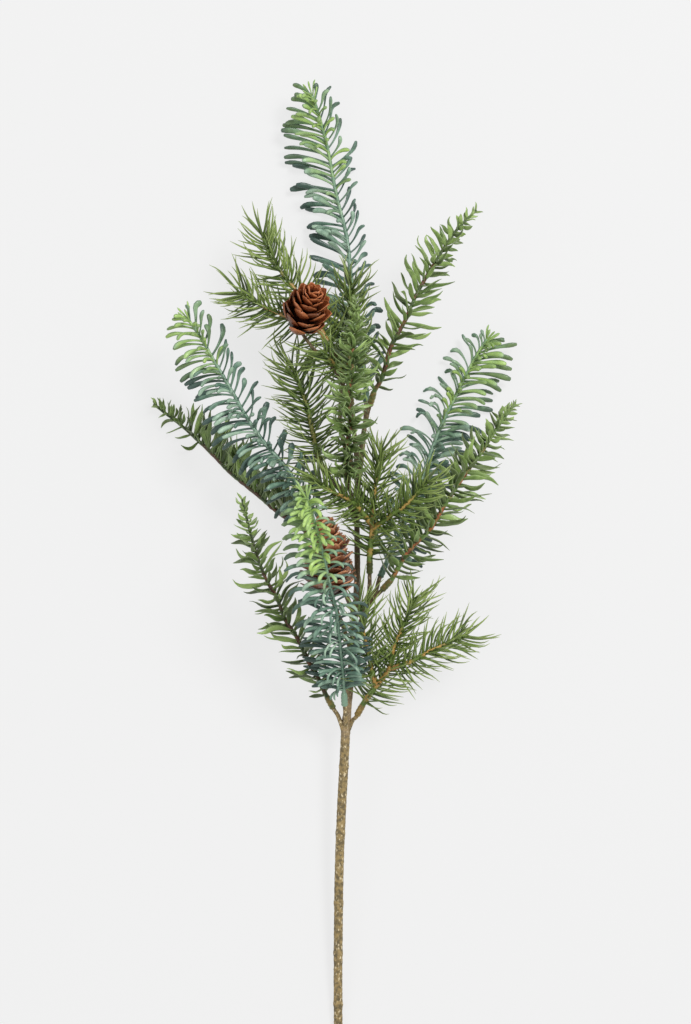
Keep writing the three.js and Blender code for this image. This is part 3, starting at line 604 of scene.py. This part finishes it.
FIR_FORMS = {
    "club": dict(
        wide=np.array([0.95, 0.76, 0.74, 0.82, 0.96, 1.14, 1.34, 1.56, 1.74, 1.68, 1.05]),
        thick=np.array([0.65, 0.55, 0.52, 0.52, 0.54, 0.58, 0.66, 0.8, 1.05, 1.1, 0.65]), sides=10, cap=0.4,
        crease=0.25),
    "strip": dict(
        wide=np.array([0.9, 0.74, 0.76, 0.84, 0.94, 1.04, 1.14, 1.22, 1.26, 1.12, 0.6]),
        thick=np.array([0.65, 0.5, 0.46, 0.45, 0.45, 0.46, 0.48, 0.52, 0.6, 0.62, 0.4]), sides=10, cap=0.35,
        crease=0.5),
}
SPRUCE_NEEDLE = dict(
    wide=np.array([0.8, 0.84, 1.1, 1.35, 1.48, 1.44, 1.28, 1.0, 0.62, 0.2]),
    thick=np.array([0.7, 0.6, 0.55, 0.52, 0.5, 0.45, 0.4, 0.32, 0.22, 0.08]), sides=8, cap=0.2, crease=0.5)
SPRUCE_LEANS = ((84, 34), (62, 56), (72, 40), (54, 76), (66, 48))
PINE_NEEDLE = dict(
    wide=np.array([0.72, 0.56, 0.6, 0.6, 0.56, 0.46, 0.3, 0.08]),
    thick=np.array([0.6, 0.46, 0.46, 0.46, 0.42, 0.34, 0.22, 0.08]), sides=6, cap=0.2, crease=0.0)


def place_on(route, distance, face):
    axis = route.axis(distance)
    side = unit(np.cross(axis, face))
    return route.point(distance), axis, side, np.cross(side, axis)


def socket_line(points, depths):
    """The points at the given depths on the straight line into a piece's first stretch"""
    mouth = np.array(points[0], float)
    inward = unit(np.array(points[1], float) - mouth)
    return mouth + inward * np.array(depths, float)[:, None]


def add_twig(pile, route, radii, face, collar, bark, tone, lime=None, collar_bark=(0.0, 0.3)):
    """A bumpy twig that thins to its tip, and its ribbed collar if it starts the spray"""
    start = TWIG_START - 3 if collar else 0.0
    distances, line = route.sampled(1.6, start)
    lifted(line, TWIG_LIFT)
    share = np.linspace(0, 1, len(line))
    rng = np.random.default_rng(int(abs(line[0, 0] * 31 + line[0, 1] * 7)))
    rough = 1 + rng.uniform(-0.14, 0.16, (len(line), 10))
    radius = mix(radii[0], radii[1], share)
    bands = smooth_step(np.sin(distances * 0.55) + np.sin(distances * 0.23 + 1.0), -0.7, 0.3)
    if lime:
        tip_lime = smooth_step(distances / route.length, *lime) * 0.8
    else:
        tip_lime = 0.0
        bands = bands * (1 - smooth_step(share, 0.6, 0.85))
    values = {"share": 0.5, "chance": tone, "bark": bark * bands, "lime": tip_lime}
    pile.sweep(line, radius, radius, face, 10, values, rough=rough)
    if collar:
        depths = np.linspace(0, COLLAR_LENGTH + 1, 15)
        ribs = COLLAR_RADIUS + 0.14 * np.sin(depths * 2.6)
        ribs[0] = 1.75
        ribs[-3:] = (1.9, 1.75, 1.55)
        line = socket_line(collar, depths)
        values = {"share": 0.5, "bark": collar_bark[0], "chance": collar_bark[1]}
        pile.sweep(line, ribs, ribs, face, 16, values)


def swell(share, base, tip, tip_start):
    """A size that grows from its share at the base to 1 and shrinks to its share at the tip"""
    return mix(base, 1, smooth_step(share, 0, 0.25)) * mix(1, tip, smooth_step(share, tip_start, 1))


def fir_row(pile, route, face, spec, sign, rng):
    """The comb of needles on one side: long lower ones and shorter, lighter upper ones by turns."""
    row = spec["left"] if sign < 0 else spec["right"]
    form = FIR_FORMS[spec["form"]]
    shares = np.linspace(0, 1, len(form["wide"]))
    edge_on = sign == spec["edge_on"]
    limed = 1.0 if spec["lime_side"] == sign else 0.35
    distance = TWIG_START + rng.uniform(0, 2)
    upper = False
    while distance < route.length - 0.6:
        along = distance / route.length
        upper = not upper
        size = threefold(along, row["size"]) * rng.uniform(0.84, 1.1) * (0.84 if upper else 1.0)
        size *= mix(1, 0.5, smooth_step(along, 0.9, 1))
        turn = math.radians(sign * ((UPPER_TURN if upper else LOWER_TURN) + rng.uniform(-10, 10)))
        tipward = mix(0, -26, smooth_step(along, 0.82, 1)) + rng.uniform(-8, 8)
        loose = rng.uniform(-22, 22) if edge_on else rng.uniform(-9, 9)
        settled = smooth_step(along, 0.15, 0.42) if spec["droop"] else 1.0
        lean = (row["lean"][0] + tipward + loose * 0.4, mix(74, row["lean"][1], settled) + tipward + loose)
        hook = rng.choice((-30, 0, 30, 60, 85)) if edge_on else rng.uniform(-8, 30)
        ripe = smooth_step(along, *spec["lime"])
        lime = limed * (ripe * 0.9 if upper else ripe**2 * spec["lime_below"])
        reached = mix(0.5, 1.15, ripe) * rng.uniform(0.8, 1.2)
        fade = 1 - smooth_step(shares, reached - 0.15, reached + 0.25)
        tone = rng.uniform(0.5, 1.0) if upper and not edge_on else rng.uniform(0.05, 0.65)
        tone += spec["pale_edge"] if edge_on else 0.0
        # The first needles are darkened, a painted shade over the spray's base.
        tone -= spec["painted_base_shade"] * (1 - smooth_step(along, 0.2, 0.6))
        end_tone = 0.4 * smooth_step(shares, 0.6, 1) * (0.3 if upper else -1)
        roll = sign * (rng.uniform(36, 84) if edge_on else rng.uniform(-14, 26))
        values = {"lime": lime * fade, "chance": np.clip(tone + end_tone, 0, 1)}
        needle(pile, place_on(route, distance, face), turn, lean, row["reach"] * size, form, values,
               hook=hook + spec["droop"] * settled, sway=rng.uniform(-0.25, 0.25),
               twist=math.radians(rng.uniform(-45, 45)), roll=math.radians(roll),
               breadth=threefold(along, row["breadth"]) * rng.uniform(0.88, 1.14), flat_up=spec["droop"] > 0)
        distance += threefold(along, row["pitch"]) * rng.uniform(0.82, 1.18)


def make_fir(name, spec, material):
    rng = random.Random(spec["seed"])
    pile = Pile()
    route = Route(spec["line"])
    face = unit(np.array(spec["face"], float))
    form = FIR_FORMS[spec["form"]]
    lime_low, lime_high = spec["lime"]
    droop = spec["droop"]
    add_twig(pile, route, spec["twig_radii"], face, spec["line"], 0.7, 0.7, (lime_low, 1.0), spec["collar"])
    for sign in (-1, 1):
        fir_row(pile, route, face, spec, sign, rng)
    distance = TWIG_START + 1
    while distance < route.length - 1.5:
        along = distance / route.length
        sign = rng.choice((-1, 1, spec["lime_side"]))
        shorter = mix(1, 0.9 if droop else 0.75, smooth_step(along, 0.8, 1))
        length = spec["left"]["reach"] * FACE_REACH * shorter * rng.uniform(0.7, 1.2)
        below = 1 - smooth_step(along, 0.5, 0.7) if droop else 0
        length *= 1 + 0.2 * below
        lean = (44 + rng.uniform(-12, 12), 88 + droop * mix(0.8, 1.2, below) + rng.uniform(-20, 20))
        lime = smooth_step(along, lime_low + 0.05, mix(lime_low, lime_high, 0.6))
        turn = math.radians(sign * rng.uniform(10, 56))
        breadth = mix(1.0, 0.62, below) if droop else 0.82
        needle(pile, place_on(route, distance, face), turn, lean, length, form,
               {"lime": lime, "chance": rng.uniform(0.4, 1.0)}, hook=rng.uniform(-10, 40) + droop,
               sway=rng.uniform(-0.4, 0.4), roll=math.radians(rng.uniform(-60, 60)), breadth=breadth,
               flat_up=droop > 0)
        distance += threefold(along, spec["on_face"]) * rng.uniform(0.7, 1.3)
    for turn in (-140, -80, -30, 20, 75, 130):
        place = place_on(route, route.length - rng.uniform(0.5, 4), face)
        needle(pile, place, math.radians(turn), (rng.uniform(10, 44), rng.uniform(0, 60)), rng.uniform(8, 12),
               FIR_FORMS["strip"], {"lime": 0.9, "chance": 1.0}, hook=rng.uniform(-20, 30), breadth=0.5)
    place_piece(pile, name, material)


def make_spruce(name, spec, material):
    rng = random.Random(spec["seed"])
    pile = Pile()
    route = Route(spec["line"])
    face = unit(np.array(spec["face"], float))
    add_twig(pile, route, (1.5, 0.8), face, spec["line"], 1.0, spec["twig_tone"],
             collar_bark=(0.4, 0.4))
    loose = spec["loose"]
    tousled = loose > TOUSLED
    start, crowding = (TOUSLED_START, 1.05) if tousled else (TWIG_START, 0.85)
    one_sided, least_turn = spec.get("one_sided", (0.0, 0))
    count = int((route.length - start) / spec["pitch"])
    for i in range(count):
        distance = mix(start, route.length - 0.8, (i / (count - 1)) ** crowding)
        along = distance / route.length
        length = spec["reach"] * swell(along, 0.85, 0.28, 0.6) * rng.choice((0.7, 0.85, 1.0, 1.1, 1.3))
        turn = rng.choice(spec["turns"]) if tousled else spec["turns"][i % len(spec["turns"])]
        if along < one_sided:
            turn = max(abs(turn), least_turn)
        turn += rng.uniform(-12, 12) * loose
        tipward = mix(0, -24, smooth_step(along, 0.85, 1))
        spread = 9 * (loose - 1)
        leans = rng.choice(SPRUCE_LEANS)
        lean = [angle + tipward + rng.uniform(-9, 9) * loose + spread for angle in leans]
        lime = 0.25 * smooth_step(along, 0.8, 1.0) + 0.25 * rng.random()
        tone = spec["tone"] - 0.25 * (1 - smooth_step(along, 0.15, 0.5))
        chance = min(1.0, max(0.0, rng.gauss(tone, 0.32)))
        breadth = threefold(along, spec["breadth"]) * rng.uniform(0.8, 1.15)
        breadth *= mix(1, 0.62, smooth_step(along, 0.88, 1))
        needle(pile, place_on(route, distance, face), math.radians(turn), lean, length, SPRUCE_NEEDLE,
               {"lime": lime, "chance": chance}, hook=rng.uniform(-1, 1) * spec["hook"],
               wave=rng.uniform(-24, 24), sway=rng.uniform(-0.5, 0.5) * loose,
               twist=math.radians(rng.uniform(-90, 90)), roll=math.radians(rng.uniform(-48, 48) * loose),
               breadth=breadth)
    place_piece(pile, name, material)


def make_pine(name, spec, material):
    rng = random.Random(spec["seed"])
    pile = Pile()
    for k, points in enumerate(spec["lines"]):
        route = Route(points)
        radii = (1.9 if k == 0 else 1.6, 0.7)
        collar = points if k == 0 else None
        add_twig(pile, route, radii, UP, collar, spec["twig_bark"], 0.55, collar_bark=spec["collar"])
        start = TWIG_START if k == 0 else 2.0
        count = int((route.length - start) / spec["pitch"])
        for i in range(count):
            distance = mix(start, route.length - 0.4, i / (count - 1))
            along = distance / route.length
            tipward = smooth_step(i / count, 0.88, 1)
            length = spec["reach"] * rng.uniform(0.72, 1.08)
            turn = i * GOLDEN_ANGLE + rng.uniform(-0.4, 0.4)
            turn += 0.34 * math.sin(2 * turn)
            spread = 1 - smooth_step(mix(0.35 if k else 0.0, 1.0, along), 0.1, 0.95)
            lean = [angle * mix(1, 0.6, tipward) + rng.uniform(-15, 15) for angle in spec["lean"]]
            lean = [lean[0] + 24 * spread, lean[1] + 36 * spread + rng.uniform(-26, 22)]
            chance = min(1.0, max(0.0, rng.gauss(spec["tone"], 0.3)))
            lime = 0.3 * smooth_step(along, 0.7, 1.0) * rng.random()
            needle(pile, place_on(route, distance, UP), turn, lean, length, PINE_NEEDLE,
                   {"lime": lime, "chance": chance}, hook=rng.uniform(-30, 20), sway=rng.uniform(-0.45, 0.45))
    place_piece(pile, name, material)


def make_stem(material):
    pile = Pile()
    route = Route(STEM_LINE)
    _, line = route.sampled(1.2)
    heights = line[:, 1]
    radius = np.interp(heights, STEM_HEIGHTS, STEM_RADII)
    for joint in STEM_JOINTS:
        radius = radius + JOINT_RISE * np.exp(-(((heights - joint) / JOINT_SPREAD) ** 2))
    rng = np.random.default_rng(7)
    rough = 1 + rng.uniform(-0.045, 0.055, (len(line), 24))
    dark = smooth_step(heights, 225, 260)
    lifted(line, STEM_LIFT)
    fork = smooth_step(heights, 198, 210) * 0.5
    pile.sweep(line, radius, radius, UP, 24, {"bark": dark * 0.7, "lime": fork}, rough=rough, cap=0.05)
    targets = {name: spec["line"] for name, spec in {**FIR, **SPRUCE}.items()}
    targets.update({name: spec["lines"][0] for name, spec in PINE.items()})
    targets.update({name: cone["ends"] for name, cone in CONES.items()})
    for name, points in WIRES.items():
        tail = socket_line(targets[name], (-WIRE_AHEAD, WIRE_SEAT))
        _, line = Route([*points, *tail]).sampled(1.3)
        share = np.linspace(0, 1, len(line))
        radius = mix(WIRE_ROOT_RADIUS, 1.0 if name == "round_cone" else 1.25, smooth_step(share, 0, 0.5))
        rough = 1 + rng.uniform(-0.06, 0.08, (len(line), 12))
        high = smooth_step(line[:, 1], 235, 300)
        pile.sweep(line, radius, radius, UP, 12, {"bark": high * 0.6}, rough=rough)
    place_piece(pile, "main_stem", material)


SCALE_SHARES = np.array([0, 0.15, 0.3, 0.45, 0.58, 0.7, 0.8, 0.88, 0.94, 0.98, 1.0])
SCALE_COLUMNS = 11


def add_scale(pile, root, axis, outward, lean, length, width, cone, chance, rng):
    """A cupped cone scale: a thin closed plate that widens and rounds off towards its free edge"""
    across = np.cross(axis, outward)
    share = SCALE_SHARES
    rows = len(share)
    angle = np.radians(mix(lean[0], lean[1], share[1:] ** 0.8))[:, None]
    step = (axis * np.cos(angle) + outward * np.sin(angle)) * (length * np.diff(share))[:, None]
    spine = np.vstack([root, root + np.cumsum(step, axis=0)])
    ahead = unit(np.gradient(spine, axis=0))
    inner = np.cross(ahead, across)
    inner *= np.sign(np.dot(inner[0], axis)) or 1.0
    body = mix(0.4, 1.0, smooth_step(share, 0.05, 0.62))
    rounding = np.clip((share - 0.62) / 0.385, 0, 1)
    half = width * body * (1 - rounding**2) ** (0.5 + 0.45 * cone["point"])
    half = np.maximum(half, 0.12)
    column = np.linspace(-1, 1, SCALE_COLUMNS)
    phase = rng.uniform(0, 6)
    wave = rng.uniform(0.2, 0.5) * np.sin(column * 3.0 + phase)
    side = across * (half[:, None] * column)[..., None]
    bend = (cone["cup"] * half[:, None] * column**2 + wave * share[:, None] ** 3)[..., None] * inner[:, None]
    middle = spine[:, None] + side + bend
    plate = cone["plate"] * np.interp(share, (0, 0.6, 0.9, 1.0), (1.7, 1.1, 0.9, 0.5))
    thickness = plate[:, None] * (1 - 0.6 * column**8)
    top = middle + inner[:, None] * thickness[..., None]
    bottom = middle - inner[:, None] * thickness[..., None]
    points = np.vstack([top.reshape(-1, 3), bottom.reshape(-1, 3)])
    sheet = rows * SCALE_COLUMNS
    index = np.arange(sheet).reshape(rows, SCALE_COLUMNS)
    quads = np.stack([index[:-1, :-1], index[:-1, 1:], index[1:, 1:], index[1:, :-1]], axis=-1).reshape(-1, 4)
    rim = np.concatenate([index[0], index[1:, -1], index[-1, -2::-1], index[-2:0:-1, 0]])
    following = np.roll(rim, -1)
    wall = np.stack([rim, following, following + sheet, rim + sheet], axis=-1)
    lower = quads[:, ::-1] + sheet
    handed = np.dot(np.cross(top[0, 1] - top[0, 0], top[1, 0] - top[0, 0]), inner[0])
    faces = np.vstack([quads, lower, wall[:, ::-1]])
    if handed < 0:
        faces = faces[:, ::-1]
    shares = np.tile(np.repeat(share, SCALE_COLUMNS), 2)
    edge = np.tile(np.abs(column) ** 3, 2 * rows)
    # A scale's sides count as further out, so they take more of the painted edge highlight and less of the
    # painted root shade.
    shares = np.clip(shares + 0.3 * edge * smooth_step(shares, 0.3, 0.7), 0, 1)
    pile.add(points, faces, [], {"share": shares, "chance": chance})


def make_cone(name, cone, material):
    rng = random.Random(cone["seed"])
    pile = Pile()
    base, tip = (np.array(end, float) for end in cone["ends"])
    axis = unit(tip - base)
    length = float(np.linalg.norm(tip - base))
    side = unit(np.cross(axis, UP))
    shares = np.linspace(0, 1, 9)
    low, middle, high = cone["core"]
    core = np.interp(shares, (0, 0.35, 0.75, 1), (low, middle, mix(middle, high, 0.6), high))
    spine = base + (tip - base) * shares[:, None]
    pile.sweep(spine, core, core, UP, 12, {"share": 0.0, "chance": 0.5}, cap=2.0)
    for i in range(cone["scales"]):
        share = mix(cone["first"], 0.97, i / (cone["scales"] - 1))
        outward = spun(side, axis, i * GOLDEN_ANGLE)
        reach = threefold(share, cone["length"]) * rng.uniform(0.93, 1.06)
        lean = [mix(*cone["lean_root"], share), mix(*cone["lean_end"], share) + rng.uniform(-7, 7)]
        root = base + axis * (share * length - reach * 0.12)
        width = threefold(share, cone["width"]) * rng.uniform(0.92, 1.06)
        chance = mix(0.8 * rng.random(), 1.0, max(share, 0.0) ** 3)
        add_scale(pile, root, axis, outward, lean, reach, width, cone, chance, rng)
    place_piece(pile, name, material)


# Stage, lights and camera


def plain_material(name, colour, glow):
    material = bpy.data.materials.new(name)
    material.use_nodes = True
    shader = material.node_tree.nodes["Principled BSDF"]
    shader.inputs["Base Color"].default_value = (*colour, 1)
    shader.inputs["Roughness"].default_value = 0.9
    shader.inputs["Specular IOR Level"].default_value = 0.1
    shader.inputs["Emission Color"].default_value = (1, 1, 1, 1)
    shader.inputs["Emission Strength"].default_value = glow
    return material


def make_stage():
    half = 6.0
    mesh = bpy.data.meshes.new("floor")
    corners = [(-half, -half, 0), (half, -half, 0), (half, half, 0), (-half, half, 0)]
    mesh.from_pydata(corners, [], [(0, 1, 2, 3)])
    floor = bpy.data.objects.new("floor", mesh)
    bpy.context.scene.collection.objects.link(floor)
    floor.data.materials.append(plain_material("floor", (0.14, 0.14, 0.14), 0.73))


def aim(thing, target):
    thing.rotation_euler = (target - thing.location).to_track_quat("-Z", "Y").to_euler()


def make_lights():
    world = bpy.data.worlds.new("studio")
    bpy.context.scene.world = world
    world.use_nodes = True
    world.node_tree.nodes["Background"].inputs["Color"].default_value = (1.0, 1.0, 1.0, 1)
    world.node_tree.nodes["Background"].inputs["Strength"].default_value = 0.5
    for name, place, size, power in (
        ("key", (1.0, 1.1, 2.2), 0.8, 43.0),
        ("fill", (-1.6, -0.6, 2.0), 1.6, 10.0),
    ):
        light = bpy.data.lights.new(name, "AREA")
        light.shape = "SQUARE"
        light.size = size
        light.energy = power
        lamp = bpy.data.objects.new(name, light)
        lamp.location = place
        aim(lamp, Vector((0, 0.05, 0.03)))
        bpy.context.scene.collection.objects.link(lamp)


# The photograph's pixels are 0.6 mm at the height of the camera's target.
PIXEL = 0.6
TALL = 1024
TARGET = (4.5, 340.8, 50.0)
DISTANCE = 2000.0


def make_camera():
    data = bpy.data.cameras.new("camera")
    data.sensor_width = 36.0
    data.lens = data.sensor_width * DISTANCE / (TALL * PIXEL)
    camera = bpy.data.objects.new("camera", data)
    camera.location = (np.array(TARGET) + (0, 0, DISTANCE) + SHIFT) * MM
    bpy.context.scene.collection.objects.link(camera)
    bpy.context.scene.camera = camera


make_camera()
make_stage()
make_lights()
bpy.context.scene.view_settings.view_transform = "Standard"
materials = make_materials()
make_stem(materials["bark"])
for name, spec in FIR.items():
    make_fir(name, spec, materials["fir"])
for name, spec in SPRUCE.items():
    make_spruce(name, spec, materials["spruce"])
for name, spec in PINE.items():
    make_pine(name, spec, materials["pine"])
for name, cone in CONES.items():
    make_cone(name, cone, materials[cone["slot"]])
